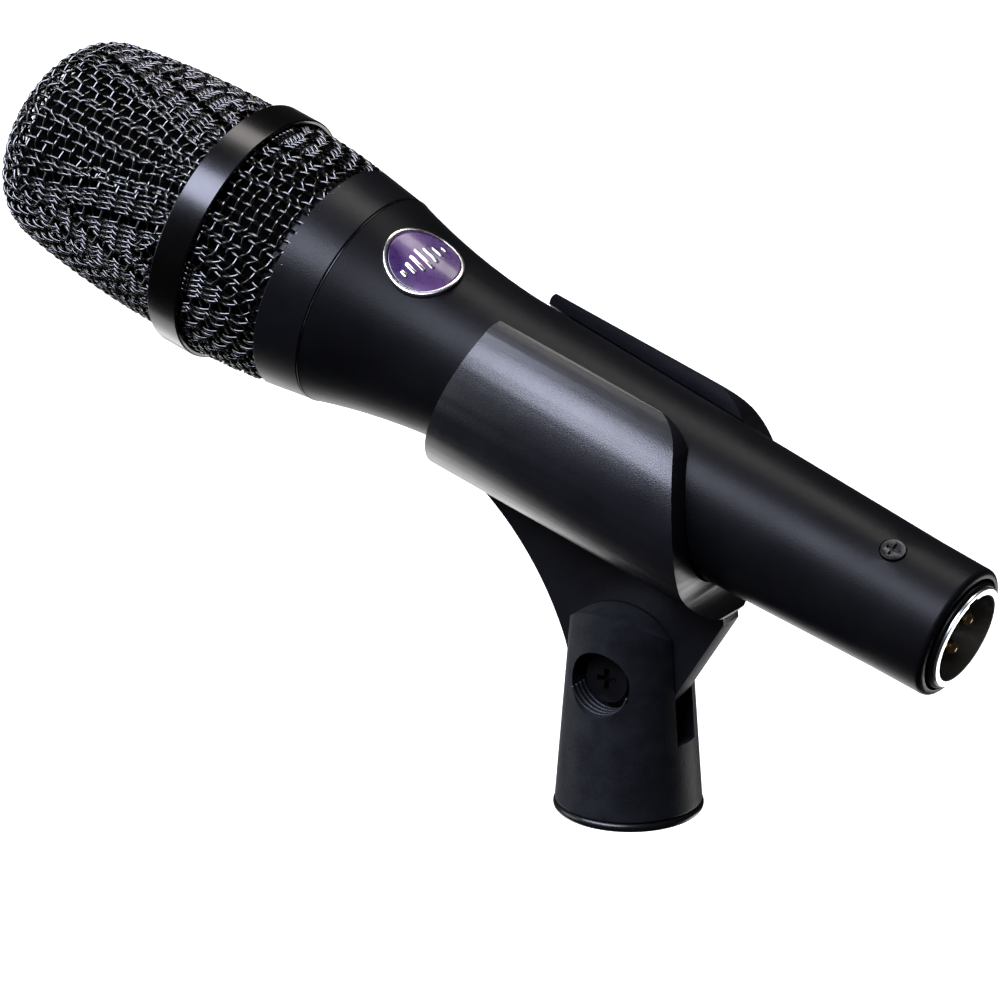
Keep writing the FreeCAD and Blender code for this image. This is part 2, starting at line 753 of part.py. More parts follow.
def make_capsule():
    """Moving-coil capsule, all its pieces turned about the microphone's axis."""
    can_inner = "can_radius - can_wall"
    keep(turned("Can", [
        ("can_rear", "can_neck_radius - can_wall"),
        ("can_rear", "can_neck_radius"),
        ("can_step", "can_neck_radius"),
        ("can_step - 3", "can_radius"),
        ("can_front", "can_radius"),
        ("can_front", can_inner),
        ("can_step - 3 - can_wall", can_inner),
        ("can_step - can_wall", "can_neck_radius - can_wall"),
    ]), "capsule_can")
    keep(tube("ShockMount", "collar_front + 1.2", "can_rear + 5", "can_neck_radius + 0.02",
              "can_neck_radius + 2.85"), "shock_mount")

    coil_inner = "coil_radius - coil_wall / 2"
    coil_outer = "coil_radius + coil_wall / 2"
    bore = f"{coil_outer} + coil_gap"
    pole = f"{coil_inner} - coil_gap"
    keep(turned("Yoke", [
        ("yoke_rear", "0"),
        ("yoke_rear", "yoke_radius"),
        ("yoke_front + plate_thickness", "yoke_radius"),
        ("yoke_front + plate_thickness", "yoke_radius - yoke_wall"),
        ("yoke_rear - 2", "yoke_radius - yoke_wall"),
        ("yoke_rear - 2", "0"),
    ]), "magnet_yoke")
    magnet_front = "yoke_front + plate_thickness"
    keep(turned("Magnet", [
        ("yoke_rear - 2", "0"),
        ("yoke_rear - 2", f"{pole} - 0.5"),
        (magnet_front, f"{pole} - 0.5"),
        (magnet_front, "0"),
    ]), "magnet")
    keep(turned("Pole", [
        (magnet_front, "0"),
        (magnet_front, pole),
        ("yoke_front", pole),
        ("yoke_front", "0"),
    ]), "pole_piece")
    keep(tube("TopPlate", magnet_front, "yoke_front", bore, can_inner + " - 0.02"), "top_plate")

    film_seat = "yoke_front - 1.2"
    keep(tube("Coil", "yoke_front + 2", film_seat, coil_inner, coil_outer), "voice_coil")
    keep(turned("Diaphragm", [
        (film_seat, "can_radius - can_wall - 1"),
        (film_seat, coil_inner),
        (f"{film_seat} - 2.4", "apex_flat", "16"),
        (f"{film_seat} - 2.4", "0"),
        (f"{film_seat} - 2.4 - film_thickness", "0"),
        (f"{film_seat} - 2.4 - film_thickness", "apex_flat"),
        (f"{film_seat} - film_thickness", coil_outer, "-16"),
        (f"{film_seat} - film_thickness", "can_radius - can_wall - 1"),
    ]), "diaphragm")
    cap_rear = "can_front + 1.6"
    body = turned("ResonatorCap", [
        (cap_rear, "0"),
        (cap_rear, can_inner + " - 0.02"),
        ("can_front - 1", can_inner + " - 0.02"),
        ("can_front - 1", "can_radius"),
        ("can_front - 2", "can_radius - 1"),
        ("can_front - 2", "0"),
    ])
    ports = new_sketch(body, "YZ_Plane", "can_front - 4")
    for index in range(6):
        ring(ports, "cap_port_radius", f"cap_port_circle * cos({60 * index})",
             f"cap_port_circle * sin({60 * index})")
    pocket(body, ports, "12", both_ways=False, turned_round=True)
    keep(body, "resonator_cap")
    keep(tube("Felt", "yoke_rear + 0.1", "yoke_rear + 1.5", "3", "yoke_radius - 1"), "rear_felt")
    keep(turned("TerminalBoard", [
        ("can_rear - 1.4", "0"),
        ("can_rear", "0"),
        ("can_rear", "can_neck_radius - can_wall - 0.05"),
        ("can_rear - 1.4", "can_neck_radius - can_wall - 0.05"),
    ]), "terminal_board")


# ---------------------------------------------------------------- transformer and leads


def lead(name, start, end, offset, angle):
    """Straight lead parallel to the axis, given by its angle round it."""
    turn = math.radians(angle)
    reach = size_of(offset)
    base = Vector(size_of(start), reach * math.sin(turn), reach * math.cos(turn))
    return rod(name, "lead_radius", f"({end}) - ({start})", Vector(1, 0, 0), base)


def make_electrics():
    transformer_end = "transformer_start + transformer_length"
    keep(turned("Transformer", [
        ("transformer_start", "0"),
        (transformer_end, "0"),
        (transformer_end, "transformer_radius"),
        ("transformer_start", "transformer_radius"),
    ]), "output_transformer")
    keep(tube("Sleeve", "transformer_start - 1", transformer_end + " + 1",
              "transformer_radius + 0.02", "main_bore - 0.05"), "transformer_sleeve")
    signal = [lead(f"SignalLead{i}", "can_rear + 0.02", "transformer_start - 0.02",
                   "lead_offset", 90 + 180 * i) for i in range(2)]
    group("signal_leads", signal)
    contact = [lead(f"ContactLead{i}", transformer_end + " + 0.02", "contact_tail - 0.02",
                    "contact_circle", roll) for i, roll in enumerate(contact_rolls())]
    group("contact_leads", contact)


# ---------------------------------------------------------------- connector


def contact_rolls():
    """Angles of the three contacts from the top, turned with the connector."""
    return [-(size_of("connector_roll") + step) for step in (90, 180, 270)]


def make_connector():
    roll = size_of("connector_roll")
    shell = turned("ConnectorShell", [
        ("shell_start", "shell_bore"),
        ("shell_rim - rim_chamfer", "shell_bore"),
        ("shell_rim", "shell_bore + rim_chamfer"),
        ("shell_rim", "shell_radius - rim_chamfer"),
        ("shell_rim - rim_chamfer", "shell_radius", "rim_chamfer"),
        ("shell_start", "shell_radius"),
    ], roll=roll)
    keyway = new_sketch(shell, "YZ_Plane", "shell_rim")
    half = "key_width / 2"
    outline(keyway, [
        (half, "shell_bore - 1"), (half, "shell_bore + key_depth"),
        ("0 - " + half, "shell_bore + key_depth"), ("0 - " + half, "shell_bore - 1"),
    ])
    pocket(shell, keyway, "key_length", both_ways=False)
    hole = latch_screw_rod("ShellScrewHole", "latch_screw_shank + 0.1", 7.6, 4.0)
    keep(combine("Cut", "ConnectorShellDrilled", shell, hole), "connector_shell")

    insulator = turned("Insulator", [
        ("insulator_start", "0"),
        ("insulator_face", "0"),
        ("insulator_face", "shell_bore - 0.03"),
        ("insulator_start", "shell_bore - 0.03"),
    ])
    holes = new_sketch(insulator, "YZ_Plane")
    for turn in contact_rolls():
        ring(holes, "contact_radius + 0.02", f"contact_circle * sin({turn})",
             f"contact_circle * cos({turn})")
    pocket(insulator, holes, "4 * insulator_face")
    keep(insulator, "connector_insulator")

    contacts = []
    for index, turn in enumerate(contact_rolls()):
        contact = new_body(f"Contact{index}", MICROPHONE, roll)
        angle = math.radians(turn + roll)
        shift = Vector(0, math.sin(angle), math.cos(angle)) * size_of("contact_circle")
        contact.Placement = contact.Placement * Placement(shift, Rotation())
        profile = outline(new_sketch(contact, "XZ_Plane"), [
            ("contact_tail", "0"),
            ("contact_tip", "0"),
            ("contact_tip - contact_radius", "contact_radius", "contact_radius"),
            ("contact_tail", "contact_radius"),
        ])
        revolve(contact, profile, "H_Axis")
        contacts.append(contact)
    group("connector_contacts", contacts)
    keep(tube("GroundSpring", "main_bore_end + 0.6", "shell_start - 0.1", "shell_bore",
              "tail_bore - 0.1"), "ground_spring")


# ---------------------------------------------------------------- build, test and write

make_base()
make_insert()
make_pivot_screw()
make_pivot_nut()
make_cradle()
make_handle()
make_latch_screw()
make_badge()
make_neck_ring()
make_collar()
make_rear_mesh()
make_band()
make_front_mesh()
make_foam()
make_capsule()
make_electrics()
make_connector()
doc.recompute()

for item in doc.Objects:
    if "Invalid" in item.State or "Error" in item.State:
        raise RuntimeError(f"{item.Name} failed: {item.State}")
for node in nodes:
    if node.Shape.isNull() or not node.Shape.isValid():
        raise RuntimeError(f"{node.Label} has no valid shape")
for node in nodes:
    node.Shape.exportStep(f"parts/{node.Label}.step")
    print(f"{node.Label:22s} {len(node.Shape.Solids)} solid(s) {node.Shape.Volume:9.1f} mm3")
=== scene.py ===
import json
import math

import bmesh
import bpy
import numpy as np
from mathutils import Matrix, Vector, noise


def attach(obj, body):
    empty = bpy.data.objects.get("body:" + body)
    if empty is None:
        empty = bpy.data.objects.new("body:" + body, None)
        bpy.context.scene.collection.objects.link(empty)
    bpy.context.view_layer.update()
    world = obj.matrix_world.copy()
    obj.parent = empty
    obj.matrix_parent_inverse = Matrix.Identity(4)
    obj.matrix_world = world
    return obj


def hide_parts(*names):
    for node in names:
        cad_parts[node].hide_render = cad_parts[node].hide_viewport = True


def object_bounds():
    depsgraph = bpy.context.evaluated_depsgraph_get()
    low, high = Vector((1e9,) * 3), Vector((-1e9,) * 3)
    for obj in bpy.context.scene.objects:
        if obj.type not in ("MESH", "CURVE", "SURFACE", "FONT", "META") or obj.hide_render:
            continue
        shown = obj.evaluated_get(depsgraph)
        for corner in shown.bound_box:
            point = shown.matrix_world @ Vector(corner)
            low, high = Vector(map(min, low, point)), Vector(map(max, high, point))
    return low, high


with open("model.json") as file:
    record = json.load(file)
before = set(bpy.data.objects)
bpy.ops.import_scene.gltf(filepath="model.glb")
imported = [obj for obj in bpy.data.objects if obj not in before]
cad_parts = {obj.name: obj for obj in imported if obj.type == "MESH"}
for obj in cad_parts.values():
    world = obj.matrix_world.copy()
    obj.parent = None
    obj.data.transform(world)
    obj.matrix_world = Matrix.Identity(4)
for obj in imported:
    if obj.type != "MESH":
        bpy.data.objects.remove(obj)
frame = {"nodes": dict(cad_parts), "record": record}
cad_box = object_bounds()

MM = 0.001

# ---------------------------------------------------------------- the microphone's own frame
# Along runs down the axis towards the connector, up and side are square to it.
# The head's joint gives a point of the axis, which lies 60 mm ahead of the frame's origin.

joints = {joint["name"]: joint for joint in frame["record"]["behaviour"]["joints"]}
ALONG = -Vector(joints["mic_slide"]["axis"]).normalized()
SIDE = Vector((0, 1, 0))
UP = ALONG.cross(SIDE).normalized()
JOINT_PLACE = -60 * MM
ORIGIN = Vector(joints["head_unscrew"]["pos_m"]) - ALONG * JOINT_PLACE
AXES = np.array([ALONG, SIDE, UP])
START = np.array(ORIGIN)

# ---------------------------------------------------------------- sizes the looks share

HANDLE = {"seam": -58.2, "seam_r": 19.95, "flare_end": -30.0, "flare_r": 15.0, "curve": 130.0}
FRONT = {"edge": -86.4, "edge_r": 22.2, "shoulder": -121.5, "shoulder_r": 19.8,
         "face": -128.75, "face_r": 14.9, "apex": -132.75, "sides": 180.0, "corner": 10.0,
         "dome": 30.0}
REAR = {"edge": -84.8, "edge_r": 22.6, "foot": -66.4, "foot_r": 21.15, "sides": 100.0}
WEAVE_PITCH = 2.05
WEAVE_GAP = 1.12            # a cell's short diagonal can close no further
WIRE_RADIUS = 0.33
CRIMP = 0.30
WEAVE_TURN = 48.0           # one wire family runs straight down the axis at this angle
WEAVE_STEPS = 5             # points along a wire from one crossing to the next
FOAM = {"back": -70.0, "back_r": 18.9, "side": -119.0, "side_r": 18.3, "corner": 9.0,
        "dome": 28.0, "rows": 150, "columns": 220}
FOAM_INSIDE = [(-70.0, 15.9), (-118.0, 15.4), (-124.5, 10.0), (-128.0, 0.5)]
BADGE = {"place": -46.0, "turn": 20.6, "radius": 7.2, "rim": 0.69, "groove": 0.12,
         "crown_edge": 0.62, "crown_rise": 0.14}
BADGE_STEPS = 128
PIVOT_HEIGHT = 24.7
EDGE_ANGLE = 35.0           # edges sharper than this many degrees are rounded


def to_world(points):
    """Microphone-frame points in millimetres (along, side, up) to world metres."""
    return START + (np.asarray(points, float) * MM) @ AXES


def arc(start, end, radius, count):
    """Points after start to end on an arc; a positive radius turns left on the way."""
    a, b = np.array(start, float), np.array(end, float)
    chord = b - a
    length = np.hypot(*chord)
    left = np.array([-chord[1], chord[0]]) / length
    centre = (a + b) / 2 + left * math.copysign(math.sqrt(radius ** 2 - length ** 2 / 4), radius)
    first = math.atan2(*(a - centre)[::-1])
    sweep = 2 * math.asin(length / 2 / abs(radius)) * math.copysign(1, radius)
    turns = first + sweep * np.arange(1, count + 1) / count
    return [tuple(centre + abs(radius) * np.array([math.cos(t), math.sin(t)])) for t in turns]


# ---------------------------------------------------------------- meshes


def new_object(name, vertices, faces, material, smooth=True):
    mesh = bpy.data.meshes.new(name)
    mesh.from_pydata([tuple(v) for v in vertices], [], [tuple(f) for f in faces])
    mesh.materials.append(material)
    if smooth:
        mesh.polygons.foreach_set("use_smooth", [True] * len(mesh.polygons))
    mesh.update()
    obj = bpy.data.objects.new(name, mesh)
    bpy.context.collection.objects.link(obj)
    return obj


def tidy_normals(obj, merge=True):
    """Merge doubled points where asked and turn every face outwards."""
    work = bmesh.new()
    work.from_mesh(obj.data)
    if merge:
        bmesh.ops.remove_doubles(work, verts=work.verts, dist=1e-7)
    bmesh.ops.recalc_face_normals(work, faces=work.faces)
    work.to_mesh(obj.data)
    work.free()


def wall_faces(low, high, columns):
    """Faces between two rings of points, which start at the places low and high."""
    return [(low + column, low + (column + 1) % columns, high + (column + 1) % columns,
             high + column) for column in range(columns)]


def place_piece(obj, body, slot, *nodes):
    """Fix a piece to its body; it stands in for the CAD nodes named, if any. The slot argument
    is not used.
    """
    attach(obj, body)
    if nodes:
        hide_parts(*nodes)
    return obj


# ---------------------------------------------------------------- woven wire


class Profile:
    """A surface of revolution's outline, evenly sampled from the axis outwards."""

    STEP = 0.1

    def __init__(self, corners):
        raw = np.array(corners, float)
        gaps = np.hypot(*np.diff(raw, axis=0).T)
        length = np.concatenate([[0], np.cumsum(gaps)])
        self.length = length[-1]
        places = np.arange(0, self.length, self.STEP)
        self.points = np.stack([np.interp(places, length, raw[:, k]) for k in (0, 1)], 1)
        tangents = np.gradient(self.points, axis=0)
        self.tangents = tangents / np.linalg.norm(tangents, axis=1)[:, None]
        self.outward = 1.0 if self.tangents[-1][0] > 0 else -1.0

    def at(self, lengths):
        """Outline points and tangents at arc lengths from the axis."""
        places = np.clip(np.asarray(lengths) / self.STEP, 0, len(self.points) - 1.001)
        low = places.astype(int)
        part = (places - low)[:, None]
        points = self.points[low] * (1 - part) + self.points[low + 1] * part
        tangents = self.tangents[low] * (1 - part) + self.tangents[low + 1] * part
        return points, tangents / np.linalg.norm(tangents, axis=1)[:, None]

    def surface(self, lengths, turns):
        """Surface points and outward normals at arc lengths and turns from the top."""
        flat, tangents = self.at(lengths)
        around = np.stack([-np.sin(turns), np.cos(turns)], 1)
        points = np.concatenate([flat[:, :1], flat[:, 1:] * around], 1)
        normals = np.concatenate([tangents[:, 1:] * -1, tangents[:, :1] * around], 1)
        return points, normals * self.outward


def drape(profile, pitch, turn, least_gap, calm=0.3, rounds=2500):
    """Lay a square net over a surface of revolution, as a wire cloth is drawn into a cup.

    Every cell keeps its sides near one pitch and shears instead, until its short diagonal
    closes to the least gap. One quarter, between two wires that run straight down the cup,
    is relaxed from an even spread; the rest is its copies. Returns {(i, j): (point, normal)}.
    """
    reach = profile.length - 2 * pitch
    count = int(reach / pitch)
    keys = [(i, j) for i in range(count + 1) for j in range(count + 1)
            if math.hypot(i, j) * pitch <= reach]
    index = {key: place for place, key in enumerate(keys)}
    lengths = np.array([math.hypot(*key) * pitch for key in keys])
    turns = np.array([turn + math.atan2(key[1], key[0]) for key in keys])
    fixed = np.array([min(key) == 0 for key in keys])

    def pairs(offset, start=(0, 0)):
        found = []
        for i, j in keys:
            first = (i + start[0], j + start[1])
            second = (first[0] + offset[0], first[1] + offset[1])
            if first in index and second in index:
                found.append((index[first], index[second]))
        return np.array(found)

    sides = np.vstack([pairs((1, 0)), pairs((0, 1))])
    outward_ties, cross_ties = pairs((1, 1)), pairs((1, -1), (0, 1))
    ends = np.concatenate([sides.ravel(), outward_ties.ravel(), cross_ties.ravel()])
    total = np.bincount(ends, minlength=len(keys))
    around_count = np.bincount(sides.ravel(), minlength=len(keys))
    inside = around_count == 4
    haste, calm_until = 1.6, 0.9
    for step in range(rounds):
        points, _ = profile.surface(lengths, turns)
        moves = np.zeros_like(points)
        for links, rest, slack in ((sides, pitch, False), (cross_ties, least_gap, True),
                                   (outward_ties, pitch * math.sqrt(2), True)):
            gap = points[links[:, 1]] - points[links[:, 0]]
            size = np.linalg.norm(gap, axis=1)
            error = np.minimum(size - rest, 0) if slack else size - rest
            push = gap * (error / size)[:, None]
            for axis in range(3):
                moves[:, axis] += np.bincount(links[:, 0], push[:, axis], len(keys))
                moves[:, axis] -= np.bincount(links[:, 1], push[:, axis], len(keys))
        moves *= (haste / total)[:, None]
        if step < rounds * calm_until:
            level = np.zeros_like(points)
            for axis in range(3):
                level[:, axis] += np.bincount(sides[:, 0], points[sides[:, 1], axis], len(keys))
                level[:, axis] += np.bincount(sides[:, 1], points[sides[:, 0], axis], len(keys))
            level = level / around_count[:, None] - points
            moves += np.where(inside[:, None], level, 0) * calm * (1 - step / rounds)
        moves[fixed] = 0
        _, tangents = profile.at(lengths)
        around = np.stack([-np.sin(turns), np.cos(turns)], 1)
        radius = np.maximum(np.hypot(points[:, 1], points[:, 2]), 0.5)
        outward = (moves[:, 1:] * around).sum(1)
        sideways = moves[:, 1] * -np.cos(turns) + moves[:, 2] * -np.sin(turns)
        lengths = np.clip(lengths + moves[:, 0] * tangents[:, 0] + outward * tangents[:, 1],
                          0, profile.length)
        turns = turns + sideways / radius

    net = {}
    for quarter_turn in range(4):
        cosine, sine = ((1, 0), (0, 1), (-1, 0), (0, -1))[quarter_turn]
        points, normals = profile.surface(lengths, turns + quarter_turn * math.pi / 2)
        for (i, j), point, normal in zip(keys, points, normals):
            net[i * cosine - j * sine, i * sine + j * cosine] = (point, normal)
    return net


def wire_paths(net, crimp, keep):
    """Centre lines of every wire, one family then the other, cut to where keep is true."""
    lines = []
    for family in (0, 1):
        rows = {}
        for key in net:
            rows.setdefault(key[1 - family], []).append(key[family])
        for row, places in sorted(rows.items()):
            places.sort()
            runs = np.split(places, np.nonzero(np.diff(places) > 1)[0] + 1)
            for run in (list(r) for r in runs if len(r) > 2):
                keys = [(p, row) if family == 0 else (row, p) for p in run]
                lines += crimped(net, keys, crimp, keep, family)
    return lines


def crimped(net, keys, crimp, keep, family):
    """One wire through its crossings, over one and under the next."""
    points = np.array([net[key][0] for key in keys])
    normals = np.array([net[key][1] for key in keys])
    signs = np.array([1 - 2 * ((sum(key) + family) % 2) for key in keys])
    padded = np.vstack([2 * points[0] - points[1], points, 2 * points[-1] - points[-2]])
    line, across = [], []
    for index in range(len(keys) - 1):
        a, b, c, d = padded[index:index + 4]
        for step in range(WEAVE_STEPS):
            t = step / WEAVE_STEPS
            spot = 0.5 * (2 * b + (c - a) * t + (2 * a - 5 * b + 4 * c - d) * t ** 2
                          + (3 * b - a - 3 * c + d) * t ** 3)
            normal = normals[index] * (1 - t) + normals[index + 1] * t
            normal /= np.linalg.norm(normal)
            line.append(spot + normal * crimp * signs[index] * math.cos(math.pi * t))
            across.append(normal)
    kept = [keep(spot) for spot in line]
    runs, current = [], []
    for index, wanted in enumerate(kept + [False]):
        if wanted:
            current.append(index)
        else:
            if len(current) > 3:
                runs.append((np.array([line[k] for k in current]),
                             np.array([across[k] for k in current])))
            current = []
    return runs


def wire_mesh(name, lines, radius, material, sides=7, placed=to_world):
    """Closed round tubes along the centre lines."""
    angles = 2 * np.pi * np.arange(sides) / sides
    vertices, faces, base = [], [], 0
    for line, normals in lines:
        tangents = np.gradient(line, axis=0)
        tangents /= np.linalg.norm(tangents, axis=1)[:, None]
        across = np.cross(tangents, normals)
        across /= np.linalg.norm(across, axis=1)[:, None]
        outward = np.cross(across, tangents)
        rings = (line[:, None] + radius * (np.cos(angles)[None, :, None] * outward[:, None]
                                           + np.sin(angles)[None, :, None] * across[:, None]))
        vertices.append(rings.reshape(-1, 3))
        count = len(line)
        for ring in range(count - 1):
            low = base + ring * sides
            for side in range(sides):
                after = (side + 1) % sides
                faces.append((low + side, low + after, low + sides + after, low + sides + side))
        faces.append(tuple(base + side for side in range(sides)))
        faces.append(tuple(base + (count - 1) * sides + side for side in reversed(range(sides))))
        base += count * sides
    obj = new_object(name, placed(np.vstack(vertices)), faces, material)
    tidy_normals(obj, merge=False)
    return obj


def front_profile(inset):
    """The domed cup of the front mesh, from its apex back past the band's edge."""
    f = FRONT
    start = (f["edge"], f["edge_r"] - inset)
    side = (f["shoulder"], f["shoulder_r"] - inset)
    corner = (f["face"] + inset * 0.45, f["face_r"] - inset * 0.8)
    apex = (f["apex"] + inset, 0.0)
    outline = [start]
    outline += arc(start, side, f["sides"] - inset, 24)
    outline += arc(side, corner, f["corner"] - inset * 0.6, 20)
    outline += arc(corner, apex, f["dome"] - inset, 24)
    beyond = (f["edge"] + 30, f["edge_r"] - inset)
    return Profile([*outline[::-1], beyond])


def rear_profile(inset):
    """The rear mesh with the flat floor it was drawn from, which the collar hides."""
    r = REAR
    bend = 3.0
    foot = (r["foot"], r["foot_r"] - inset)
    edge = (r["edge"], r["edge_r"] - inset)
    floor_edge = (r["foot"] + bend, r["foot_r"] - inset - bend)
    outline = [(floor_edge[0], 0.0), floor_edge]
    outline += arc(floor_edge, foot, bend * 1.001, 8)
    outline += arc(foot, edge, r["sides"], 24)
    outline.append((r["edge"] - 30, r["edge_r"] - inset))
    return Profile(outline)


def make_weaves(material):
    """Both woven wire meshes, in place of the CAD's thin skins."""
    inset = CRIMP + WIRE_RADIUS
    turn = math.radians(WEAVE_TURN)
    front = drape(front_profile(inset), WEAVE_PITCH, turn, WEAVE_GAP)
    lines = wire_paths(front, CRIMP, lambda p: p[0] < FRONT["edge"] + 0.4)
    place_piece(wire_mesh("front_grille_weave", lines, WIRE_RADIUS, material),
                "head", "grille_wire", "front_grille")
    rear = drape(rear_profile(inset), WEAVE_PITCH, turn, WEAVE_GAP)
    lines = wire_paths(rear, CRIMP, lambda p: REAR["edge"] - 0.4 < p[0] < REAR["foot"] + 0.6)
    place_piece(wire_mesh("rear_grille_weave", lines, WIRE_RADIUS, material),
                "head", "grille_wire", "rear_grille")


# ---------------------------------------------------------------- foam


def foam_skin():
    """The foam's outer outline, from its back edge to just short of the axis."""
    f = FRONT
    outline = [(FOAM["back"], FOAM["back_r"]), (FOAM["side"], FOAM["side_r"])]
    outline += arc(outline[-1], (f["face"] + 2.5, f["face_r"] - 2.2), FOAM["corner"], 8)
    outline += arc(outline[-1], (f["apex"] + 1.6, 0.0), FOAM["dome"], 8)
    outline = np.array(outline)
    length = np.concatenate([[0], np.cumsum(np.hypot(*np.diff(outline, axis=0).T))])
    places = np.linspace(0, length[-1], FOAM["rows"])
    skin = np.stack([np.interp(places, length, outline[:, k]) for k in (0, 1)], 1)
    return skin[:-1]


def pit_depth(spot):
    """How far the foam's skin is sunk at a place, in millimetres."""
    return abs(noise.cell(spot * 1.1) * 0.16 + noise.noise(spot * 1.7) * 0.32)


def make_foam(material):
    """Open-cell foam cup inside the weave, its skin pitted."""
    columns = FOAM["columns"]
    skin, inner = foam_skin(), np.array(FOAM_INSIDE)
    vertices = []
    for wall, pitted in ((skin, True), (inner, False)):
        for along, radius in wall:
            for column in range(columns):
                turn = 2 * math.pi * column / columns
                y, z = math.sin(turn), math.cos(turn)
                spot = Vector((along, radius * y, radius * z))
                reach = radius - (pit_depth(spot) if pitted and radius > 1 else 0)
                vertices.append((along, reach * y, reach * z))
    starts = [ring * columns for ring in range(len(skin) + len(inner))]
    outside, inside = starts[:len(skin)], starts[:len(skin) - 1:-1]
    faces = []
    for wall in (outside, inside):
        for low, high in zip(wall, wall[1:]):
            faces += wall_faces(low, high, columns)
    faces.append(tuple(outside[-1] + column for column in range(columns)))
    faces.append(tuple(inside[0] + column for column in reversed(range(columns))))
    faces += wall_faces(outside[0], inside[-1], columns)
    foam = new_object("foam_windscreen", to_world(vertices), faces, material)
    tidy_normals(foam)
    place_piece(foam, "head", "foam", "foam_liner")


# ---------------------------------------------------------------- badge


def handle_radius(along):
    """The handle's outer radius on the flare, where the badge sits."""
    h = HANDLE
    a = np.array([h["flare_end"], h["flare_r"]])
    b = np.array([h["seam"], h["seam_r"]])
    chord = b - a
    length = np.hypot(*chord)
    left = np.array([-chord[1], chord[0]]) / length
    centre = (a + b) / 2 - left * math.sqrt(h["curve"] ** 2 - length ** 2 / 4)
    return centre[1] - math.sqrt(h["curve"] ** 2 - (along - centre[0]) ** 2)


def on_badge(along, across, lift):
    """Point over the badge's middle, lift millimetres off the handle's skin."""
    turn = math.radians(BADGE["turn"])
    out = np.array([0, -math.sin(turn), math.cos(turn)])
    sideways = np.cross([1, 0, 0], out)
    place = BADGE["place"] + along
    height = math.sqrt((handle_radius(place) + lift) ** 2 - across ** 2)
    return np.array([place, 0, 0]) + out * height + sideways * across


def badge_ring(reach, lift):
    """Points of a circle round the badge's middle."""
    turns = 2 * np.pi * np.arange(BADGE_STEPS) / BADGE_STEPS
    return [on_badge(reach * math.cos(turn), reach * math.sin(turn), lift) for turn in turns]


def crown(reach):
    """Height of the enamel's slightly domed face off the handle."""
    edge = BADGE["radius"] - BADGE["rim"] - BADGE["groove"]
    return BADGE["crown_edge"] + BADGE["crown_rise"] * (1 - (reach / edge) ** 2)


def make_badge_rim(material):
    """Bright flat-topped rim, its section's corners eased."""
    half = BADGE["rim"] / 2
    side = [(half, 0.02), (half, 0.74), (half - 0.04, 0.83), (half - 0.13, 0.87)]
    section = side + [(-width, lift) for width, lift in reversed(side)]
    middle = BADGE["radius"] - half
    vertices, faces = [], []
    for step in range(BADGE_STEPS):
        turn = 2 * math.pi * step / BADGE_STEPS
        for width, lift in section:
            reach = middle + width
            vertices.append(on_badge(reach * math.cos(turn), reach * math.sin(turn), lift))
    size = len(section)
    for step in range(BADGE_STEPS):
        faces += wall_faces(step * size, (step + 1) % BADGE_STEPS * size, size)
    rim = new_object("badge_rim_bead", to_world(vertices), faces, material)
    tidy_normals(rim)
    place_piece(rim, "microphone", "badge_metal", "badge_rim")


def make_badge_enamel(material):
    """Enamel disc inside the rim, with a low side wall down to the handle."""
    edge = BADGE["radius"] - BADGE["rim"] - BADGE["groove"]
    rings, foot = 24, 0.05
    vertices = [on_badge(0, 0, crown(0))]
    for ring in range(1, rings + 1):
        reach = edge * ring / rings
        vertices += badge_ring(reach, crown(reach))
    vertices += badge_ring(edge, foot)
    faces = [(0, 1 + step, 1 + (step + 1) % BADGE_STEPS) for step in range(BADGE_STEPS)]
    for ring in range(rings):
        low = 1 + ring * BADGE_STEPS
        faces += wall_faces(low, low + BADGE_STEPS, BADGE_STEPS)
    faces.append(tuple(1 + rings * BADGE_STEPS + step for step in range(BADGE_STEPS)))
    enamel = new_object("badge_enamel_disc", to_world(vertices), faces, material)
    tidy_normals(enamel)
    place_piece(enamel, "microphone", "badge_enamel", "badge_enamel")


def make_level_bars(material):
    """Row of round-ended bars on the enamel, like a sound level."""
    lengths = (1.6, 2.8, 4.0, 5.2, 4.0, 2.8, 1.6)
    gap, width, proud, sunk, top_share = 1.6, 0.75, 0.16, 0.05, 0.72
    slant = math.radians(-80)
    vertices, faces = [], []
    for index, length in enumerate(lengths):
        middle = (index - (len(lengths) - 1) / 2) * gap
        rim_points = []
        for end in (1, -1):
            for turn in np.linspace(0, math.pi, 9):
                rim_points.append((middle + width / 2 * math.cos(turn) * end,
                                   end * (length / 2 - width / 2 + width / 2 * math.sin(turn))))
        base, count = len(vertices), len(rim_points)
        for share, lift in ((1.0, -sunk), (1.0, proud * 0.6), (top_share, proud)):
            for x, y in rim_points:
                x = middle + (x - middle) * share
                y = y * (1 - (1 - share) * width / length)
                u = x * math.cos(slant) - y * math.sin(slant)
                w = x * math.sin(slant) + y * math.cos(slant)
                vertices.append(on_badge(u, w, crown(math.hypot(u, w)) + lift))
        for layer in range(2):
            low = base + layer * count
            faces += wall_faces(low, low + count, count)
        faces.append(tuple(base + 2 * count + corner for corner in range(count)))
        faces.append(tuple(base + corner for corner in reversed(range(count))))
    bars = new_object("badge_level_bars", to_world(vertices), faces, material)
    tidy_normals(bars)
    place_piece(bars, "microphone", "badge_metal")


# ---------------------------------------------------------------- materials


def new_material(name):
    """Empty node material with its tree and shader."""
    material = bpy.data.materials.new(name)
    material.use_nodes = True
    tree = material.node_tree
    shader = tree.nodes["Principled BSDF"]
    return material, tree, shader


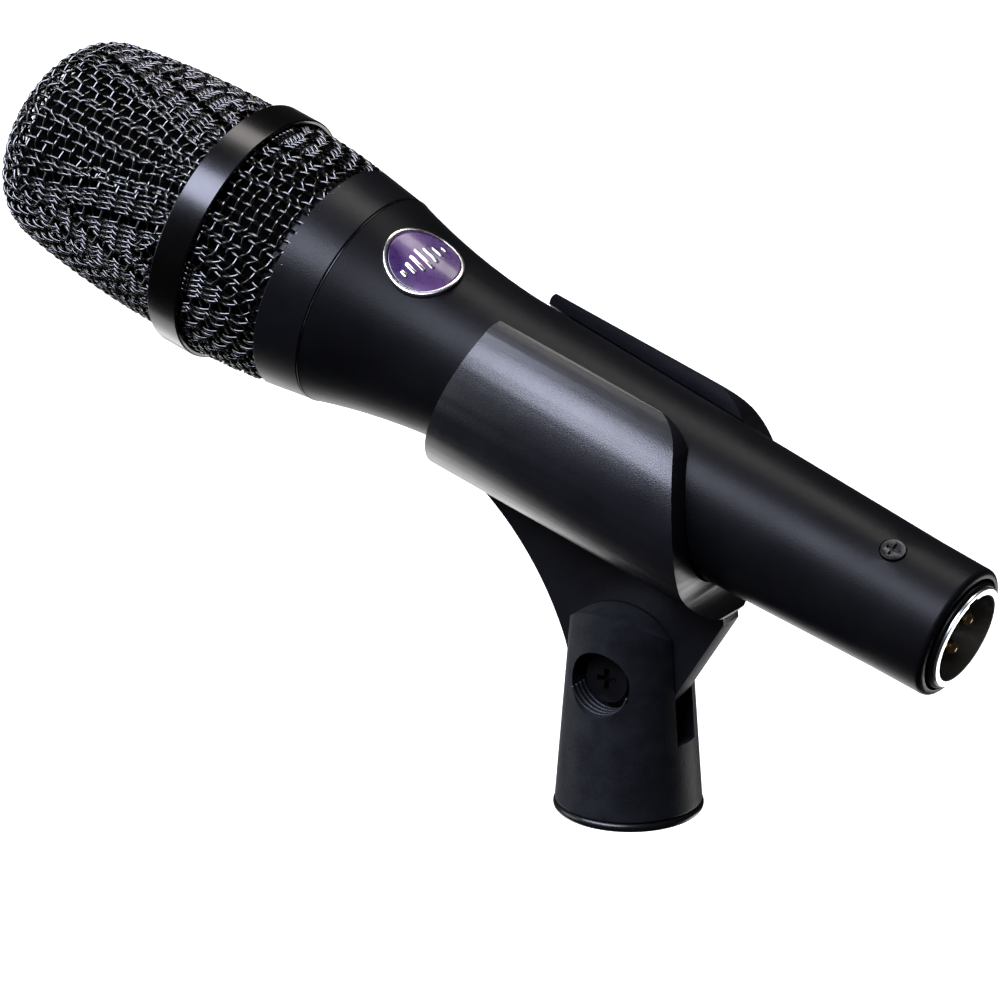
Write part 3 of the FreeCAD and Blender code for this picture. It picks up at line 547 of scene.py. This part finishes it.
def noise_node(tree, scale, detail=3.0, roughness=0.55):
    """Noise over the piece's own place in metres."""
    where = tree.nodes.new("ShaderNodeTexCoord")
    node = tree.nodes.new("ShaderNodeTexNoise")
    node.inputs["Scale"].default_value = scale
    node.inputs["Detail"].default_value = detail
    node.inputs["Roughness"].default_value = roughness
    tree.links.new(where.outputs["Object"], node.inputs["Vector"])
    return node


def spread(tree, source, low, high, start=0.3, end=0.7):
    """Map a noise value onto a range."""
    node = tree.nodes.new("ShaderNodeMapRange")
    node.inputs["From Min"].default_value = start
    node.inputs["From Max"].default_value = end
    node.inputs["To Min"].default_value = low
    node.inputs["To Max"].default_value = high
    tree.links.new(source, node.inputs["Value"])
    return node.outputs["Result"]


def colour_mix(tree, factor, first, second):
    """Blend two colours by a factor."""
    node = tree.nodes.new("ShaderNodeMix")
    node.data_type = "RGBA"
    node.inputs[6].default_value = (*first, 1)
    node.inputs[7].default_value = (*second, 1)
    tree.links.new(factor, node.inputs["Factor"])
    return node.outputs[2]


def bump(tree, shader, height, strength, distance):
    """Raise the surface by a height value, at most distance metres."""
    node = tree.nodes.new("ShaderNodeBump")
    node.inputs["Strength"].default_value = strength
    node.inputs["Distance"].default_value = distance
    tree.links.new(height, node.inputs["Height"])
    tree.links.new(node.outputs["Normal"], shader.inputs["Normal"])
    return node


def grained(name, dark, light, roughness, metallic=0.0, grain=2600.0, depth=0.00002,
            cloud=60.0, specular=0.5, strength=0.35):
    """Finish with a fine grain, and colour and gloss that drift slowly over the piece."""
    material, tree, shader = new_material(name)
    fine = noise_node(tree, grain, 2.0)
    broad = noise_node(tree, cloud, 4.0)
    tree.links.new(colour_mix(tree, spread(tree, broad.outputs["Fac"], 0, 1), dark, light),
                   shader.inputs["Base Color"])
    tree.links.new(spread(tree, broad.outputs["Fac"], *roughness), shader.inputs["Roughness"])
    shader.inputs["Metallic"].default_value = metallic
    shader.inputs["Specular IOR Level"].default_value = specular
    bump(tree, shader, fine.outputs["Fac"], strength, depth)
    return material


def enamel_material(name):
    """Glossy enamel whose purple drifts between a deep and a lilac tone."""
    material, tree, shader = new_material(name)
    broad = noise_node(tree, 120.0, 1.0)
    factor = spread(tree, broad.outputs["Fac"], 0, 1, 0.38, 0.64)
    tree.links.new(colour_mix(tree, factor, (0.035, 0.010, 0.075), (0.150, 0.075, 0.200)),
                   shader.inputs["Base Color"])
    fine = noise_node(tree, 900.0, 2.0)
    tree.links.new(spread(tree, fine.outputs["Fac"], 0.24, 0.34), shader.inputs["Roughness"])
    shader.inputs["Coat Weight"].default_value = 0.4
    shader.inputs["Coat Roughness"].default_value = 0.12
    bump(tree, shader, fine.outputs["Fac"], 0.1, 0.00001)
    return material


# Two colours that each finish drifts between, then its range of roughness.
MATERIALS = {
    "base_plastic": grained("base_plastic_look", (0.006, 0.0065, 0.009), (0.012, 0.013, 0.017),
                            (0.40, 0.52), grain=1900, depth=0.00006, cloud=240, strength=0.6,
                            specular=0.42),
    "insert_metal": grained("insert_metal_look", (0.003, 0.003, 0.004), (0.006, 0.006, 0.007),
                            (0.22, 0.34)),
    "black_screw": grained("black_screw_look", (0.006, 0.006, 0.007), (0.012, 0.012, 0.014),
                           (0.22, 0.36), metallic=0.3, grain=1500),
    "clip_plastic": grained("clip_plastic_look", (0.004, 0.004, 0.006), (0.007, 0.007, 0.010),
                            (0.31, 0.36), grain=4200, depth=0.00004, cloud=90, strength=0.7,
                            specular=0.62),
    "handle_coat": grained("handle_coat_look", (0.003, 0.003, 0.004), (0.005, 0.005, 0.006),
                           (0.38, 0.44), grain=3600, depth=0.00004, cloud=70, strength=0.5,
                           specular=0.15),
    "badge_metal": grained("badge_metal_look", (0.80, 0.79, 0.77), (0.92, 0.91, 0.90),
                           (0.20, 0.30), metallic=1.0, grain=1200, depth=0.00001),
    "badge_enamel": enamel_material("badge_enamel_look"),
    "brass": grained("brass_look", (0.55, 0.38, 0.15), (0.7, 0.52, 0.25), (0.25, 0.4),
                     metallic=1.0),
    "capsule_plastic": grained("capsule_plastic_look", (0.02, 0.02, 0.02), (0.04, 0.04, 0.04),
                               (0.4, 0.6)),
    "rubber": grained("rubber_look", (0.012, 0.012, 0.012), (0.025, 0.025, 0.025), (0.7, 0.85)),
    "steel": grained("steel_look", (0.42, 0.42, 0.43), (0.58, 0.58, 0.59), (0.25, 0.4),
                     metallic=1.0),
    "magnet": grained("magnet_look", (0.32, 0.32, 0.34), (0.45, 0.45, 0.47), (0.2, 0.35),
                      metallic=1.0),
    "felt": grained("felt_look", (0.15, 0.15, 0.14), (0.3, 0.3, 0.28), (0.9, 1.0), grain=900,
                    depth=0.0002),
    "board": grained("board_look", (0.10, 0.06, 0.02), (0.18, 0.12, 0.05), (0.5, 0.65)),
    "lead_jacket": grained("lead_jacket_look", (0.25, 0.02, 0.02), (0.4, 0.05, 0.04),
                           (0.4, 0.55)),
    "connector_chrome": grained("connector_chrome_look", (0.80, 0.80, 0.81), (0.92, 0.92, 0.93),
                                (0.26, 0.34), metallic=1.0, grain=900, depth=0.00001,
                                strength=0.15),
    "connector_plastic": grained("connector_plastic_look", (0.003, 0.003, 0.003),
                                 (0.006, 0.006, 0.006), (0.35, 0.5), specular=0.3),
    "gold_contact": grained("gold_contact_look", (0.40, 0.26, 0.11), (0.50, 0.35, 0.16),
                            (0.18, 0.28), metallic=1.0, grain=1500, depth=0.00001),
    "copper": grained("copper_look", (0.62, 0.24, 0.10), (0.8, 0.36, 0.18), (0.2, 0.35),
                      metallic=1.0),
    "collar_coat": grained("collar_coat_look", (0.003, 0.003, 0.004), (0.006, 0.006, 0.008),
                           (0.34, 0.40), grain=3400, depth=0.00005, cloud=90, strength=0.5,
                           specular=0.22),
    "band_coat": grained("band_coat_look", (0.038, 0.038, 0.039), (0.048, 0.048, 0.050),
                         (0.21, 0.26), metallic=1.0, grain=3000, depth=0.00002, cloud=120),
    "grille_wire": grained("grille_wire_look", (0.085, 0.085, 0.085), (0.125, 0.125, 0.124),
                           (0.12, 0.20), metallic=1.0, grain=900, depth=0.00002, cloud=260),
    "foam": grained("foam_look", (0.001, 0.001, 0.001), (0.003, 0.003, 0.003), (0.9, 1.0),
                    grain=1100, depth=0.0003, cloud=700, specular=0.05, strength=0.8),
    "film": grained("film_look", (0.45, 0.40, 0.26), (0.6, 0.55, 0.4), (0.2, 0.3)),
}


SLOTS = {part["node"]: part["material_slot"] for part in frame["record"]["subparts"]}


def dress_cad_nodes():
    """Give every carried-over CAD node the look of its record slot."""
    for node, obj in frame["nodes"].items():
        obj.data.materials.clear()
        obj.data.materials.append(MATERIALS[SLOTS[node]])


def ease_edges(node, body, width, dissolve=1.0, segments=2):
    """Stand-in for a CAD piece: the same shape with every sharp edge rounded."""
    source = frame["nodes"][node]
    mesh = source.data.copy()
    mesh.name = node + "_eased"
    work = bmesh.new()
    work.from_mesh(mesh)
    bmesh.ops.transform(work, matrix=source.matrix_world, verts=work.verts)
    bmesh.ops.remove_doubles(work, verts=work.verts, dist=1e-7)
    bmesh.ops.dissolve_limit(work, angle_limit=math.radians(dissolve), verts=work.verts,
                             edges=work.edges)
    work.to_mesh(mesh)
    work.free()
    mesh.polygons.foreach_set("use_smooth", [True] * len(mesh.polygons))
    eased = bpy.data.objects.new(node + "_eased", mesh)
    bpy.context.collection.objects.link(eased)
    round_edges(eased, width, segments)
    place_piece(eased, body, SLOTS[node], node)


def lathe(node, body, corners, width):
    """Turned stand-in for a CAD ring: a closed outline (along, radius), its edges rounded."""
    around = 192
    turns = 2 * np.pi * np.arange(around) / around
    vertices = [(along, -radius * math.sin(turn), radius * math.cos(turn))
                for turn in turns for along, radius in corners]
    size = len(corners)
    faces = []
    for step in range(around):
        faces += wall_faces(step * size, (step + 1) % around * size, size)
    turned = new_object(node + "_turned", to_world(vertices), faces, MATERIALS[SLOTS[node]])
    tidy_normals(turned)
    round_edges(turned, width, 3)
    place_piece(turned, body, SLOTS[node], node)


def round_edges(obj, width, segments):
    """Round every sharp edge of a piece by a width in millimetres."""
    rounding = obj.modifiers.new("rounding", "BEVEL")
    rounding.width = width * MM
    rounding.segments = segments
    rounding.limit_method = "ANGLE"
    rounding.angle_limit = math.radians(EDGE_ANGLE)
    rounding.harden_normals = True
    rounding.miter_outer = "MITER_ARC"


def make_turned_rings():
    """The head's collar and band."""
    lathe("grille_collar", "head", [
        (-58.36, 18.12), (-58.36, 19.95), (-66.99, 21.22), (-66.99, 20.3), (-69.0, 20.3),
        (-69.0, 18.12)], 0.22)
    lathe("grille_band", "head", [
        (-82.4, 22.65), (-82.4, 23.6), (-88.8, 23.6), (-88.8, 22.3), (-86.4, 22.3),
        (-86.4, 20.4), (-85.0, 20.4), (-85.0, 22.65)], 0.32)


def loop(along, radius, start=0.0, end=2 * math.pi, count=160):
    """Line round the microphone's axis with its outward normals."""
    turns = np.linspace(start, end, count)
    normals = np.stack([0 * turns, -np.sin(turns), np.cos(turns)], 1)
    return normals * radius + [along, 0, 0], normals


def make_front_lip():
    """Bright line where the handle's front edge meets the head."""
    lip = wire_mesh("handle_front_lip", [loop(HANDLE["seam"] + 0.12, HANDLE["seam_r"] - 0.13)],
                    0.17, MATERIALS["band_coat"], sides=10)
    place_piece(lip, "microphone", "handle_coat")


def make_ground_tab_and_shade_rings():
    """Copper ground tab, and dark rings over the shell's outer wall in the gap at the tail:
    painted shade standing in for the dark that the chrome wall reflects.
    """
    tab_line = loop(68.6, 10.35, math.radians(172), math.radians(188), 24)
    tab = wire_mesh("ground_tab", [tab_line], 0.5, MATERIALS["copper"], sides=12)
    place_piece(tab, "microphone", "copper")
    # Painted shade: near-black rings cover the chrome shell's wall so that it reads dark.
    rings = [loop(along, 9.5) for along in (66.6, 67.5, 68.4, 69.2)]
    shade_rings = wire_mesh("connector_painted_shade_rings", rings, 0.62, MATERIALS["connector_plastic"],
                       sides=10)
    place_piece(shade_rings, "microphone", "connector_plastic")


def make_recess_ridges():
    """Ribs round the lower wall of the screw's recess in the swivel base."""
    radius = 5.85
    ribs = []
    for depth in (6.3, 7.5, 8.7, 9.9):
        turns = np.radians(np.linspace(196, 344, 40))
        inward = np.stack([np.cos(turns), 0 * turns, np.sin(turns)], 1)
        ribs.append((inward * radius + [0, -depth, PIVOT_HEIGHT], inward))
    ridges = wire_mesh("recess_ridges", ribs, 0.28, MATERIALS["base_plastic"], sides=10,
                       placed=lambda points: points * MM)
    place_piece(ridges, "stand_base", "base_plastic")


# ---------------------------------------------------------------- stage, light and camera


def make_floor():
    """Seamless pale floor that glows a little. It lies below the reach of the tilted head."""
    half, drop = 8.0, 0.16
    level = cad_box[0].z - drop
    corners = [(-half, -half, level), (half, -half, level), (half, half, level),
               (-half, half, level)]
    material, tree, shader = new_material("floor_look")
    broad = noise_node(tree, 3.0, 2.0)
    tone = colour_mix(tree, broad.outputs["Fac"], (0.97, 0.97, 0.975), (1.0, 1.0, 1.0))
    tree.links.new(tone, shader.inputs["Base Color"])
    tree.links.new(tone, shader.inputs["Emission Color"])
    shader.inputs["Emission Strength"].default_value = 0.85
    shader.inputs["Roughness"].default_value = 0.9
    shader.inputs["Specular IOR Level"].default_value = 0.1
    floor = new_object("floor", corners, [(0, 1, 2, 3)], material, smooth=False)
    floor.visible_glossy = False
    floor.visible_diffuse = False
    floor.visible_shadow = False


def softbox(name, direction, distance, size, power, colour=(1, 1, 1)):
    """Rectangular light that faces the object from a direction."""
    data = bpy.data.lights.new(name, "AREA")
    data.shape = "RECTANGLE"
    data.size, data.size_y = size
    data.energy = power
    data.color = colour
    light = bpy.data.objects.new(name, data)
    middle = (cad_box[0] + cad_box[1]) / 2
    away = Vector(direction).normalized()
    light.location = middle + away * distance
    light.rotation_mode = "QUATERNION"
    light.rotation_quaternion = away.to_track_quat("Z", "Y")
    bpy.context.collection.objects.link(light)


def make_lights():
    """Soft boxes, and a world that glows low behind the object so that its underside shows."""
    softbox("key_softbox", (-0.18, -0.62, 0.76), 1.3, (1.2, 0.55), 32, (0.76, 0.80, 1.0))
    softbox("left_fill", (-0.90, -0.40, 0.16), 1.5, (0.9, 0.9), 6.0, (0.92, 0.95, 1.0))
    softbox("top_softbox", (-0.12, 0.30, 0.94), 1.4, (1.0, 0.4), 8, (1.0, 0.96, 0.90))
    softbox("low_bounce", (-0.60, 0.42, -0.68), 1.2, (1.2, 0.5), 3.4)
    softbox("rim_panel", (0.35, 0.76, -0.55), 1.2, (0.5, 0.4), 2.6)
    world = bpy.data.worlds.new("studio")
    world.use_nodes = True
    tree = world.node_tree
    background = tree.nodes["Background"]
    where = tree.nodes.new("ShaderNodeTexCoord")
    toward = tree.nodes.new("ShaderNodeVectorMath")
    toward.operation = "DOT_PRODUCT"
    toward.inputs[1].default_value = Vector((-0.52, 0.66, -0.54)).normalized()
    tree.links.new(where.outputs["Generated"], toward.inputs[0])
    glow = tree.nodes.new("ShaderNodeMapRange")
    glow.inputs["From Min"].default_value = 0.86
    glow.inputs["From Max"].default_value = 0.98
    glow.inputs["To Min"].default_value = 0.03
    glow.inputs["To Max"].default_value = 0.7
    tree.links.new(toward.outputs["Value"], glow.inputs["Value"])
    tree.links.new(glow.outputs["Result"], background.inputs["Strength"])
    background.inputs["Color"].default_value = (0.95, 0.97, 1.0, 1)
    bpy.context.scene.world = world


def make_camera():
    """Long lens, a third of the way round from the side and 20 degrees up."""
    azimuth, elevation, roll = (math.radians(a) for a in (32.93, 20.14, 0.195))
    right_shift, up_shift, distance = -22.70 * MM, 52.32 * MM, 1236.4 * MM
    back = Vector((math.sin(azimuth) * math.cos(elevation),
                   -math.cos(azimuth) * math.cos(elevation), math.sin(elevation)))
    level = Vector((math.cos(azimuth), math.sin(azimuth), 0))
    upright = back.cross(level)
    right = level * math.cos(roll) + upright * math.sin(roll)
    up = upright * math.cos(roll) - level * math.sin(roll)
    data = bpy.data.cameras.new("camera")
    data.sensor_width = 36.0
    data.lens = 252.0
    data.clip_start, data.clip_end = 0.05, 50.0
    camera = bpy.data.objects.new("camera", data)
    turn = Matrix((right, up, back)).transposed().to_4x4()
    spot = right * right_shift + up * up_shift + back * distance
    camera.matrix_world = Matrix.Translation(spot) @ turn
    bpy.context.collection.objects.link(camera)
    bpy.context.scene.camera = camera


# ---------------------------------------------------------------- build

make_camera()
make_floor()
make_lights()
dress_cad_nodes()
ease_edges("clip_cradle", "cradle", 0.45, dissolve=0.3, segments=3)
ease_edges("connector_screw", "microphone", 0.4, dissolve=0.1, segments=4)
make_turned_rings()
make_front_lip()
make_ground_tab_and_shade_rings()
make_recess_ridges()
make_weaves(MATERIALS["grille_wire"])
make_foam(MATERIALS["foam"])
make_badge_rim(MATERIALS["badge_metal"])
make_badge_enamel(MATERIALS["badge_enamel"])
make_level_bars(MATERIALS["badge_metal"])
bpy.context.scene.view_settings.view_transform = "Standard"
